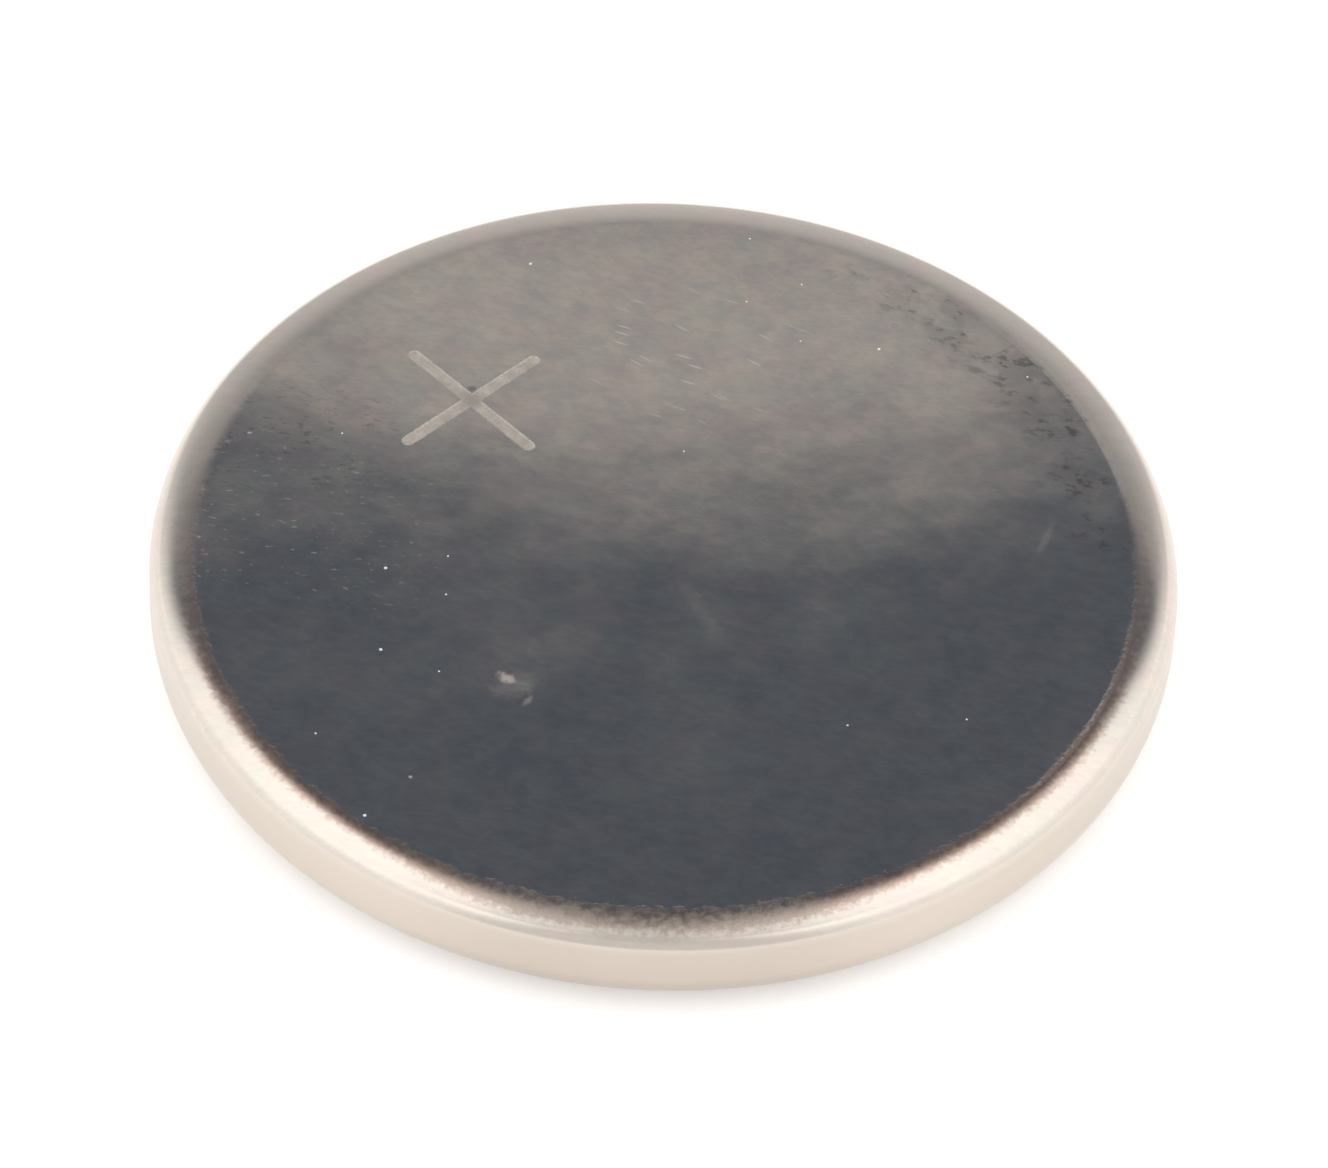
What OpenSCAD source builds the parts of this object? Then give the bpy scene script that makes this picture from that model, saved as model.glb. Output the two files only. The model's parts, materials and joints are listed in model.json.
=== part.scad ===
// Lithium coin cell, built from its pressed, drawn and moulded pieces.
// Millimetres, +Z up. The origin is the middle of the negative cap's face, which lies on Z = 0,
// and the can's flat positive face is on top.
// Each sheet piece follows a path of straight runs and bends in section, turned about the Z axis.

/* [Cell] */
// Outer diameter of the cell
cell_d = 16; // [14:0.5:20]
// Height of the cell, from the cap's face to the can's face
cell_h = 1.6; // [1.6:0.05:2.4]
// How far the cap's face stands out past the crest of the crimp
cap_step = 0.1; // [0.05:0.01:0.2]

/* [Positive can] */
// Thickness of the can's sheet
can_t = 0.2; // [0.15:0.01:0.22]
// Inside radius of the shallow crown round the flat face
crown_in_r = 1.55; // [1:0.05:2.5]
// Angle that the crown turns through before the corner
crown_a = 16; // [8:1:25]
// Inside radius of the corner between the crown and the wall
corner_in_r = 0.05; // [0.04:0.01:0.15]
// Inside radius of the crimp that rolls the wall over the gasket
crimp_in_r = 0.45; // [0.35:0.01:0.48]
// Angle that the crimped lip turns past level, into the cell
lip_a = 12; // [5:1:18]
// Width of the crimped band, from the wall to the lip's cut edge
crimp_w = 1.05; // [0.9:0.05:1.15]

/* [Negative cap] */
// Thickness of the cap's sheet
cap_t = 0.2; // [0.15:0.01:0.22]
// Inside radius at the edge of the cap's flat face
foot_in_r = 0.1; // [0.05:0.01:0.2]
// Angle of the sloped wall between the face and the shoulder
slope_a = 53; // [45:1:65]
// Radius of the hollow where the sloped wall meets the shoulder
root_r = 0.15; // [0.1:0.01:0.2]
// Width of the shoulder's flat ring
shoulder_w = 0.12; // [0.05:0.01:0.25]
// Inside radius where the shoulder turns into the skirt
shoulder_in_r = 0.1; // [0.06:0.01:0.15]
// Space between the skirt and the edge folded back outside it
hem_gap = 0.06; // [0.04:0.01:0.1]
// How far the folded edge stops short of the shoulder's outside
hem_drop = 0.12; // [0.08:0.01:0.2]

/* [Gasket] */
// Thickness between the can's wall and the cap's folded edge
gasket_wall = 0.25; // [0.2:0.01:0.3]
// Thickness between the can's inside and the end of the cap's skirt
gasket_floor = 0.2; // [0.15:0.01:0.25]
// Thickness squeezed between the crimp and the cap's shoulder
gasket_seat = 0.2; // [0.15:0.01:0.25]
// Thickness of the wall inside the cap's skirt
gasket_inner_t = 0.3; // [0.2:0.01:0.35]
// Height of the wall inside the cap's skirt
gasket_inner_h = 0.52; // [0.45:0.01:0.55]
// Bevel on the free edge of that wall
gasket_bevel = 0.1; // [0.04:0.01:0.15]
// Radius of the bead that swells out of the crimp's mouth
bead_r = 0.8; // [0.6:0.05:1.5]

/* [Electrodes] */
// Thickness of the positive collector grid
collector_t = 0.06; // [0.04:0.01:0.1]
// Margin between the collector's edge and the positive pellet's edge
collector_margin = 0.3; // [0.1:0.05:0.6]
// Long diagonal of a grid opening
opening_l = 1.6; // [1:0.1:2]
// Short diagonal of a grid opening
opening_w = 0.8; // [0.6:0.1:1]
// Width of the strands between the openings
strand_w = 0.25; // [0.15:0.05:0.4]
// Thickness of the positive pellet
positive_t = 0.56; // [0.5:0.01:0.6]
// Thickness of the separator
separator_t = 0.12; // [0.08:0.01:0.15]
// Inside radius of the bend at the separator's rim
separator_in_r = 0.1; // [0.05:0.01:0.12]
// Height that the separator's rim stands up round the positive pellet
separator_rim_h = 0.35; // [0.25:0.01:0.4]
// Clearance that the separator's rim keeps from the cap and from the positive pellet
rim_clear = 0.12; // [0.12:0.01:0.2]
// Clearance between the negative pellet and the edge of the cap's flat
pellet_clear = 0.25; // [0.1:0.05:0.5]
// Bevel on the edges of the pressed pellets
pellet_bevel = 0.06; // [0.02:0.01:0.12]

/* [Hidden] */

// Facets in a turn about the axis
turn_fn = 128;
// Largest angle between two points of a bend, and the fewest parts that a bend is made of
bend_a = 10;
bend_parts = 3;

// Can: outside radii of its bends, the edge of its flat face, and the ends of its wall
cell_r = cell_d / 2;
wall_in_r = cell_r - can_t;
floor_z = cell_h - can_t;
crown_r = crown_in_r + can_t;
corner_r = corner_in_r + can_t;
crimp_r = crimp_in_r + can_t;
face_r = cell_r - corner_r - (crown_r - corner_r) * sin(crown_a);
wall_top_z = cell_h - crown_r + (crown_r - corner_r) * cos(crown_a);
wall_foot_z = cap_step + crimp_r;
lip_l = (crimp_w - crimp_r * (1 + sin(lip_a))) / cos(lip_a);
can_start = [0, floor_z + can_t / 2];
can_steps = [
    [face_r, -crown_a, crown_in_r],
    [0, crown_a - 90, corner_in_r],
    [wall_top_z - wall_foot_z, -90, crimp_in_r],
    [0, -lip_a, crimp_in_r],
    [lip_l, 0, 0]
];

// Cap, worked inwards from the gasket's wall: its hem, skirt, shoulder, slope and face
hem_r = wall_in_r - gasket_wall;
skirt_r = hem_r - cap_t - hem_gap;
skirt_in_r = skirt_r - cap_t;
fold_in_r = hem_gap / 2;
fold_z = floor_z - gasket_floor - cap_t - fold_in_r;
shoulder_z = cap_step + can_t + gasket_seat;
shoulder_r = skirt_in_r - shoulder_in_r;
skirt_foot_z = shoulder_z + cap_t + shoulder_in_r;
hem_z = shoulder_z + hem_drop;
bends_r = foot_in_r + cap_t + root_r;
root_in_r = shoulder_r - shoulder_w - (root_r + cap_t) * sin(slope_a);
slope_l = (shoulder_z - bends_r * (1 - cos(slope_a))) / sin(slope_a);
cap_face_r = shoulder_r - shoulder_w - bends_r * sin(slope_a) - slope_l * cos(slope_a);
cap_start = [0, cap_t / 2];
cap_face = [[cap_face_r, slope_a, foot_in_r]];
cap_slope = [
    [slope_l, -slope_a, root_r],
    [shoulder_w, 90, shoulder_in_r]
];
cap_rim = [
    [fold_z - skirt_foot_z, -180, fold_in_r],
    [fold_z - hem_z, 0, 0]
];

// Gasket
gasket_in_r = skirt_in_r - gasket_inner_t;
gasket_tip_z = floor_z - gasket_inner_h;

// Pellets, separator and collector, stacked between the cap and the can
negative_t = floor_z - cap_t - collector_t - positive_t - separator_t;
separator_z = cap_t + negative_t;
positive_z = separator_z + separator_t;
collector_z = positive_z + positive_t;
separator_r = root_in_r - rim_clear;
positive_r = separator_r - separator_t - rim_clear;
negative_r = cap_face_r - pellet_clear;
collector_r = positive_r - collector_margin;
separator_start = [0, separator_z + separator_t / 2];
separator_steps = [
    [separator_r - separator_t - separator_in_r, 90, separator_in_r],
    [separator_rim_h - separator_in_r, 0, 0]
];
pitch_x = opening_l + 2 * strand_w;
pitch_y = opening_w + 2 * strand_w;

function dir(a) = [cos(a), sin(a)];
function reversed(list) = [for (i = [len(list) - 1 : -1 : 0]) list[i]];
function last(list) = list[len(list) - 1];

// Points beside the middle of a sheet of thickness t, at d to its left. The sheet starts at p with
// heading h, and each step is a straight run, a turn to the left, and the inside radius of that turn.
function beside(steps, t, d, p, h = 0, i = 0) =
    i == len(steps) ? [] : let (
        run = steps[i][0],
        turn = steps[i][1],
        r = sign(turn) * (steps[i][2] + t / 2),
        c = p + run * dir(h) + r * dir(h + 90),
        n = turn == 0 ? 0 : max(bend_parts, ceil(abs(turn) / bend_a)),
        points = [for (k = [run == 0 ? 1 : 0 : n]) c + (d - r) * dir(h + 90 + turn * k / max(n, 1))]
    ) concat(
        i == 0 ? [p + d * dir(h + 90)] : [], points,
        beside(steps, t, d, c - r * dir(h + 90 + turn), h + turn, i + 1)
    );

// Points of an arc of radius r that swells to the left of the way from p to q
function swell(p, q, r) =
    let (
        half = norm(q - p) / 2,
        reach = asin(half / r),
        h = atan2(q.y - p.y, q.x - p.x),
        c = (p + q) / 2 - r * cos(reach) * dir(h + 90),
        n = ceil(2 * reach / bend_a)
    ) [for (k = [1 : n - 1]) c + r * dir(h + 90 + reach * (1 - 2 * k / n))];

// Section of a sheet: both of its sides, and its cut end
module sheet(steps, t, p) {
    polygon(concat(beside(steps, t, -t / 2, p), reversed(beside(steps, t, t / 2, p))));
}

// Turns a section, drawn as radius and height, about the Z axis
module turned() {
    rotate_extrude($fn = turn_fn) children();
}

// Pressed disc with bevelled edges, standing on height z
module pellet(r, z, t) {
    turned() polygon([
        [0, z], [r - pellet_bevel, z], [r, z + pellet_bevel],
        [r, z + t - pellet_bevel], [r - pellet_bevel, z + t], [0, z + t]
    ]);
}

module can_section() {
    sheet(can_steps, can_t, can_start);
}

module cap_section() {
    sheet(concat(cap_face, cap_slope, cap_rim), cap_t, cap_start);
}

// Gasket in section. It reaches from the middle of the can's sheet to the middle of the cap's, with
// the bead across the mouth, and then both sheets are taken out of it.
module gasket_section() {
    can_middle = beside(can_steps, can_t, 0, can_start);
    slope_foot = last(beside(cap_face, cap_t, 0, cap_start));
    difference() {
        polygon(concat(
            can_middle, swell(last(can_middle), slope_foot, bead_r),
            beside(cap_slope, cap_t, 0, slope_foot, slope_a),
            [[skirt_in_r + cap_t / 2, gasket_tip_z], [gasket_in_r + gasket_bevel, gasket_tip_z]],
            [[gasket_in_r, gasket_tip_z + gasket_bevel], [gasket_in_r, floor_z], [0, floor_z]]
        ));
        can_section();
        cap_section();
        hem_slot();
    }
}

// Slot that the folded edge keeps open between itself and the skirt
module hem_slot() {
    slot_h = fold_z + fold_in_r + cap_t / 2 - hem_z;
    translate([skirt_r - cap_t / 2, hem_z]) square([hem_gap + cap_t, slot_h]);
}

// Cup drawn from one sheet, with its mouth crimped over the gasket
module positive_can() {
    color("silver") turned() can_section();
}

// Moulded ring, squeezed to the shape of the sheets that hold it
module gasket() {
    color("dimgray") turned() gasket_section();
}

// Dish pressed from one sheet, with its rim folded back outside the skirt
module negative_cap() {
    color("lightgray") turned() cap_section();
}

// Expanded grid between the positive pellet and the can
module positive_collector() {
    columns = ceil(2 * collector_r / pitch_x);
    rows = ceil(2 * collector_r / pitch_y);
    opening = [
        [opening_l / 2, 0], [0, opening_w / 2], [-opening_l / 2, 0], [0, -opening_w / 2]
    ];
    color("gray") translate([0, 0, collector_z]) linear_extrude(collector_t) difference() {
        circle(collector_r, $fn = turn_fn);
        for (i = [-columns : columns], j = [-rows : rows]) {
            p = [i * pitch_x, j * pitch_y] / 2;
            if ((i + j) % 2 == 0 && norm(p) < collector_r - opening_l / 2 - strand_w) {
                translate(p) polygon(opening);
            }
        }
    }
}

// Pressed pellet on the can's side
module positive_electrode() {
    color("#26262a") pellet(positive_r, positive_z, positive_t);
}

// Soft disc between the pellets, with its rim turned up round the positive one
module separator() {
    color("white") turned() sheet(separator_steps, separator_t, separator_start);
}

// Pressed pellet in the cap
module negative_electrode() {
    color("#5b5d60") pellet(negative_r, cap_t, negative_t);
}

positive_can();
gasket();
negative_cap();
positive_collector();
positive_electrode();
separator();
negative_electrode();
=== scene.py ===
"""Lithium coin cell, dressed for a studio picture. Metres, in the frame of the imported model."""
import json
import math
import random
from types import SimpleNamespace

import bpy
from mathutils import Matrix, Vector
from mathutils.geometry import delaunay_2d_cdt


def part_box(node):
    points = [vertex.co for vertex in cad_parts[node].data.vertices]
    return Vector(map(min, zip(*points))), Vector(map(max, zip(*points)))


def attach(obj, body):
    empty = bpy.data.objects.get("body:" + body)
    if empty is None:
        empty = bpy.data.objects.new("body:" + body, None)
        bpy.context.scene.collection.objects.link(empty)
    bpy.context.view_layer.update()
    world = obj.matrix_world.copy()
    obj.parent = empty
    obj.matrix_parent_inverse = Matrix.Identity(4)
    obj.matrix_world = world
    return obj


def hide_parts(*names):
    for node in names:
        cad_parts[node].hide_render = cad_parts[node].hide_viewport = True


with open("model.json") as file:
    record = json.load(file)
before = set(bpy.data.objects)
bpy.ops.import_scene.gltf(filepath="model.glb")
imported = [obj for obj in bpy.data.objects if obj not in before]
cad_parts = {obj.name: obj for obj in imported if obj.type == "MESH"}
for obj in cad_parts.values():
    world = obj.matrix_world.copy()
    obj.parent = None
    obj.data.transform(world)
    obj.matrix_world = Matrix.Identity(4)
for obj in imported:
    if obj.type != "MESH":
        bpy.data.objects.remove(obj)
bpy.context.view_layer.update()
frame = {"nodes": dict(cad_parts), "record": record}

MM = 0.001
UM = 0.000001
BODY = "root"

# Driving sizes of the sheets and the moulded ring, as the model has them
mounts = {m["name"]: m for m in frame["record"]["mounts"]}
CELL_R = mounts["can_wall"]["dims"]["r_mm"] * MM
CELL_H = mounts["positive_face"]["pos_m"][2]
CAP_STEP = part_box("positive_can")[0].z
CAN_T = 0.2 * MM
CROWN_IN_R = 1.55 * MM
CROWN_A = 16
CORNER_IN_R = 0.05 * MM
CRIMP_IN_R = 0.45 * MM
LIP_A = 12
CRIMP_W = 1.05 * MM
CAP_T = 0.2 * MM
FOOT_IN_R = 0.1 * MM
SLOPE_A = 53
ROOT_R = 0.15 * MM
SHOULDER_W = 0.12 * MM
SHOULDER_IN_R = 0.1 * MM
HEM_GAP = 0.06 * MM
HEM_DROP = 0.12 * MM
GASKET_WALL = 0.25 * MM
GASKET_FLOOR = 0.2 * MM
GASKET_SEAT = 0.2 * MM
GASKET_INNER_T = 0.3 * MM
GASKET_INNER_H = 0.52 * MM
GASKET_BEVEL = 0.1 * MM
BEAD_R = 0.8 * MM
# Points this near a line of the section count as on it
ON_LINE = 0.001 * UM

# Finer parts than the model's: segments round the axis, the angle between points of a bend where it
# shows and where it is hidden, and the angle from which a ring is a sharp edge
SEGMENTS = 384
BEND_STEP = 2.5
HIDDEN_STEP = 10
CREASE_AT = 25
# Ring just inside the edge of the flat face, which keeps the face's shading level
FACE_MARGIN = 0.06 * MM

# Etched plus sign: middle and heading, length and width of its strokes, depth, width of its sloping edge,
# parts along that edge and round a stroke's end, and the edge's raggedness at its top and foot
PLUS_AT = (-3.16 * MM, 3.12 * MM)
PLUS_TURN = 45
PLUS_L = 2.86 * MM
PLUS_W = 0.195 * MM
PLUS_DEPTH = 0.012 * MM
PLUS_BEVEL = 0.026 * MM
PLUS_STEP = 0.03 * MM
PLUS_END_PARTS = 10
PLUS_JITTER = 0.006 * MM
PLUS_SEEDS = (3, 5)

# Filling an outline with triangles: only what lies within it is kept, and points this near in
# millimetres are merged
WITHIN_OUTLINE = 1
MERGE_AT = 1e-6

# Camera: angle above the floor, lean of the picture, distance, lens, sensor, the point it looks at, how far
# right of and above that it aims, and the nearest and farthest that it sees
CAMERA_ELEVATION = 46.8
CAMERA_ROLL = 2.5
CAMERA_DISTANCE = 130 * MM
CAMERA_LENS = 225.8
CAMERA_SENSOR = 36
CAMERA_TARGET = Vector((0, 0, 0.8 * MM))
CAMERA_AIM = (0.012 * MM, 0.058 * MM)
CAMERA_CLIP = (0.01, 3)

# Sheet sizes that follow from the driving ones
WALL_IN_R = CELL_R - CAN_T
FLOOR_Z = CELL_H - CAN_T
CROWN_R = CROWN_IN_R + CAN_T
CORNER_R = CORNER_IN_R + CAN_T
CRIMP_R = CRIMP_IN_R + CAN_T
crown_rad = math.radians(CROWN_A)
lip_rad = math.radians(LIP_A)
slope_rad = math.radians(SLOPE_A)
FACE_R = CELL_R - CORNER_R - (CROWN_R - CORNER_R) * math.sin(crown_rad)
WALL_TOP_Z = CELL_H - CROWN_R + (CROWN_R - CORNER_R) * math.cos(crown_rad)
WALL_FOOT_Z = CAP_STEP + CRIMP_R
LIP_L = (CRIMP_W - CRIMP_R * (1 + math.sin(lip_rad))) / math.cos(lip_rad)
HEM_R = WALL_IN_R - GASKET_WALL
SKIRT_R = HEM_R - CAP_T - HEM_GAP
SKIRT_IN_R = SKIRT_R - CAP_T
FOLD_IN_R = HEM_GAP / 2
FOLD_Z = FLOOR_Z - GASKET_FLOOR - CAP_T - FOLD_IN_R
SHOULDER_Z = CAP_STEP + CAN_T + GASKET_SEAT
SHOULDER_R = SKIRT_IN_R - SHOULDER_IN_R
SKIRT_FOOT_Z = SHOULDER_Z + CAP_T + SHOULDER_IN_R
HEM_Z = SHOULDER_Z + HEM_DROP
BENDS_R = FOOT_IN_R + CAP_T + ROOT_R
SLOPE_L = (SHOULDER_Z - BENDS_R * (1 - math.cos(slope_rad))) / math.sin(slope_rad)
CAP_FACE_R = SHOULDER_R - SHOULDER_W - BENDS_R * math.sin(slope_rad) - SLOPE_L * math.cos(slope_rad)

# Each step is a straight run, a turn to the left in degrees, and the inside radius of that turn
CAN_START = Vector((0, FLOOR_Z + CAN_T / 2))
CAN_STEPS = [
    (FACE_R, -CROWN_A, CROWN_IN_R),
    (0, CROWN_A - 90, CORNER_IN_R),
    (WALL_TOP_Z - WALL_FOOT_Z, -90, CRIMP_IN_R),
    (0, -LIP_A, CRIMP_IN_R),
    (LIP_L, 0, 0),
]
CAP_START = Vector((0, CAP_T / 2))
CAP_FACE = [(CAP_FACE_R, SLOPE_A, FOOT_IN_R)]
CAP_SLOPE = [(SLOPE_L, -SLOPE_A, ROOT_R), (SHOULDER_W, 90, SHOULDER_IN_R)]
CAP_RIM = [(FOLD_Z - SKIRT_FOOT_Z, -180, FOLD_IN_R), (FOLD_Z - HEM_Z, 0, 0)]


def heading(degrees):
    """Unit vector in a section at an angle from the outward direction."""
    return Vector((math.cos(math.radians(degrees)), math.sin(math.radians(degrees))))


def beside(steps, t, d, start, step=BEND_STEP):
    """Points beside the middle of a sheet of thickness t, at d to its left."""
    h = 0.0
    points = [start + d * heading(h + 90)]
    p = start.copy()
    for run, turn, inside in steps:
        r = math.copysign(inside + t / 2, turn)
        p = p + run * heading(h)
        if run > 0:
            points.append(p + d * heading(h + 90))
        if turn != 0:
            c = p + r * heading(h + 90)
            n = math.ceil(abs(turn) / step)
            points += [c + (d - r) * heading(h + 90 + turn * k / n) for k in range(1, n + 1)]
            h += turn
            p = c - r * heading(h + 90)
    return points


def swell(p, q, r):
    """Points of an arc of radius r that swells to the left of the way from p to q."""
    half = (q - p).length / 2
    reach = math.degrees(math.asin(half / r))
    h = math.degrees(math.atan2(q.y - p.y, q.x - p.x))
    c = (p + q) / 2 - r * math.cos(math.radians(reach)) * heading(h + 90)
    n = math.ceil(2 * reach / BEND_STEP)
    return [c + r * heading(h + 90 + reach * (1 - 2 * k / n)) for k in range(1, n)]


def ring(r, z):
    """Points of one turn about the axis."""
    turns = [2 * math.pi * k / SEGMENTS for k in range(SEGMENTS)]
    return [(r * math.cos(a), r * math.sin(a), z) for a in turns]


class Turned:
    """Mesh of rings about the axis, joined by quads, with its sharp rings and odd faces."""

    def __init__(self):
        self.verts = []
        self.faces = []
        self.sharp = set()
        self.slots = {}

    def add_ring(self, r, z):
        start = len(self.verts)
        self.verts += ring(r, z)
        return list(range(start, start + SEGMENTS))

    def join(self, low, high):
        for k in range(SEGMENTS):
            n = (k + 1) % SEGMENTS
            self.faces.append((low[k], low[n], high[n], high[k]))

    def crease(self, loop):
        for a, b in zip(loop, loop[1:] + loop[:1]):
            self.sharp.add((min(a, b), max(a, b)))

    def build(self, name, materials):
        """The finished object, with smooth faces, sharp rings and each face's material."""
        mesh = bpy.data.meshes.new(name)
        mesh.from_pydata(self.verts, [], self.faces)
        for material in materials:
            mesh.materials.append(material)
        for index, face_slot in self.slots.items():
            mesh.polygons[index].material_index = face_slot
        mesh.polygons.foreach_set("use_smooth", [True] * len(mesh.polygons))
        for edge in mesh.edges:
            a, b = edge.vertices
            edge.use_edge_sharp = (min(a, b), max(a, b)) in self.sharp
        mesh.update()
        piece = bpy.data.objects.new(name, mesh)
        bpy.context.scene.collection.objects.link(piece)
        return piece


def turn_angle(a, b, c):
    """Angle in degrees between the ways from a to b and from b to c."""
    return math.degrees((b - a).angle(c - b, 0))


def lathe(name, section, materials):
    """Closed solid turned from a closed section, which runs clockwise."""
    made = Turned()
    rings = [made.add_ring(p.x, p.y) for p in section]
    count = len(section)
    for i in range(count):
        made.join(rings[(i + 1) % count], rings[i])
        if turn_angle(section[i - 1], section[i], section[(i + 1) % count]) > CREASE_AT:
            made.crease(rings[i])
    return made.build(name, materials)


def plus_outline(grow):
    """Outline of the plus sign about its middle, with round ends, moved outwards by grow."""
    half_l = PLUS_L / 2
    half_w = PLUS_W / 2
    straight = half_l - half_w
    steps = round((straight - half_w) / PLUS_STEP)
    edge = [half_w + (straight - half_w) * k / steps for k in range(steps + 1)]
    arm = [(x, -half_w - grow) for x in edge[1:]]
    arm[0:0] = [(half_w + grow, -half_w - grow)]
    for k in range(1, PLUS_END_PARTS):
        a = math.pi * (k / PLUS_END_PARTS - 0.5)
        reach = half_w + grow
        arm.append((straight + reach * math.cos(a), reach * math.sin(a)))
    arm += [(x, half_w + grow) for x in reversed(edge[1:])]
    outline = []
    for quarter in range(4):
        turn = Matrix.Rotation(math.radians(90 * quarter + PLUS_TURN), 2)
        outline += [turn @ Vector(p) for p in arm]
    return outline


def jittered(outline, seed, size):
    """The outline with each point moved a little, to make its edge ragged."""
    rng = random.Random(seed)
    moved = []
    for p in outline:
        moved.append(p + Vector((rng.uniform(-size, size), rng.uniform(-size, size))))
    return moved


def can_shell(metal, etched, shaded_brink):
    """The drawn cup in fine parts, with the plus sign etched into its face, and painted shade on the sign's
    sloping edge.
    """
    outer = beside(CAN_STEPS, CAN_T, CAN_T / 2, CAN_START)
    inner = beside(CAN_STEPS, CAN_T, -CAN_T / 2, CAN_START, step=HIDDEN_STEP)
    support = Vector((FACE_R - FACE_MARGIN, CELL_H))
    outside = [support] + outer[1:]
    inside = list(reversed(inner[1:]))
    made = Turned()
    section = outside + inside
    rings = [made.add_ring(p.x, p.y) for p in section]
    for low, high in zip(rings, rings[1:]):
        made.join(high, low)
    for i in range(1, len(section) - 1):
        if turn_angle(section[i - 1], section[i], section[i + 1]) > CREASE_AT:
            made.crease(rings[i])
    middle = len(made.verts)
    made.verts.append((0, 0, inside[-1].y))
    last = rings[-1]
    for k in range(SEGMENTS):
        made.faces.append((last[k], middle, last[(k + 1) % SEGMENTS]))
    add_face(made, rings[0])
    return made.build("can_shell", [metal, etched, shaded_brink])


def add_face(made, edge):
    """Fills the ring called edge with the flat face, and sinks the plus sign into it."""
    at = Vector(PLUS_AT)
    brim_seed, foot_seed = PLUS_SEEDS
    brim = [at + p for p in jittered(plus_outline(PLUS_BEVEL / 2), brim_seed, PLUS_JITTER)]
    foot = [at + p for p in jittered(plus_outline(-PLUS_BEVEL / 2), foot_seed, PLUS_JITTER / 2)]
    brim_at = [len(made.verts) + k for k in range(len(brim))]
    made.verts += [(p.x, p.y, CELL_H) for p in brim]
    foot_at = [len(made.verts) + k for k in range(len(foot))]
    made.verts += [(p.x, p.y, CELL_H - PLUS_DEPTH) for p in foot]
    fill(made, [edge, brim_at], CELL_H, hole=brim)
    start = len(made.faces)
    fill(made, [foot_at], CELL_H - PLUS_DEPTH)
    for index in range(start, len(made.faces)):
        made.slots[index] = 1
    # The sign's sloping edge takes the darker material: painted shade
    for k in range(len(brim)):
        n = (k + 1) % len(brim)
        made.slots[len(made.faces)] = 2
        made.faces.append((brim_at[k], foot_at[k], foot_at[n], brim_at[n]))
    made.crease(brim_at)
    made.crease(foot_at)


def inside_of(p, outline):
    """True if the point lies within the closed outline."""
    within = False
    for a, b in zip(outline, outline[1:] + outline[:1]):
        if (a.y > p.y) != (b.y > p.y) and p.x < a.x + (b.x - a.x) * (p.y - a.y) / (b.y - a.y):
            within = not within
    return within


def fill(made, loops, z, hole=None):
    """Level triangles between the loops of vertices, with nothing inside the hole."""
    index = [i for loop in loops for i in loop]
    flat = [Vector(made.verts[i][:2]) / MM for i in index]
    edges = []
    start = 0
    for loop in loops:
        edges += [(start + k, start + (k + 1) % len(loop)) for k in range(len(loop))]
        start += len(loop)
    points, _, tris, origins, _, _ = delaunay_2d_cdt(flat, edges, [], WITHIN_OUTLINE, MERGE_AT)
    names = []
    for point, origin in zip(points, origins):
        if origin:
            names.append(index[origin[0]])
        else:
            names.append(len(made.verts))
            made.verts.append((point.x * MM, point.y * MM, z))
    for tri in tris:
        a, b, c = (points[i] for i in tri)
        if hole and inside_of((a + b + c) / 3 * MM, hole):
            continue
        if (b - a).cross(c - a) < 0:
            tri = list(reversed(tri))
        made.faces.append(tuple(names[i] for i in tri))


def cap_sections():
    """The cap's sides that face down and up, each from the axis to the hem's end."""
    whole = CAP_FACE + CAP_SLOPE + CAP_RIM
    below = beside(whole, CAP_T, -CAP_T / 2, CAP_START)
    above = beside(whole, CAP_T, CAP_T / 2, CAP_START, step=HIDDEN_STEP)
    return below, above


def cap_dish(metal):
    """The cap in fine parts, with a fan of triangles round the middle of each of its two sides."""
    below, above = cap_sections()
    made = Turned()
    section = below[1:] + list(reversed(above[1:]))
    rings = [made.add_ring(p.x, p.y) for p in section]
    for low, high in zip(rings, rings[1:]):
        made.join(low, high)
    for i in range(1, len(section) - 1):
        if turn_angle(section[i - 1], section[i], section[i + 1]) > CREASE_AT:
            made.crease(rings[i])
    for loop, z, down in ((rings[0], 0, True), (rings[-1], CAP_T, False)):
        middle = len(made.verts)
        made.verts.append((0, 0, z))
        for k in range(SEGMENTS):
            n = (k + 1) % SEGMENTS
            pair = (loop[n], loop[k]) if down else (loop[k], loop[n])
            made.faces.append((middle,) + pair)
    return made.build("cap_dish", [metal])


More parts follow.
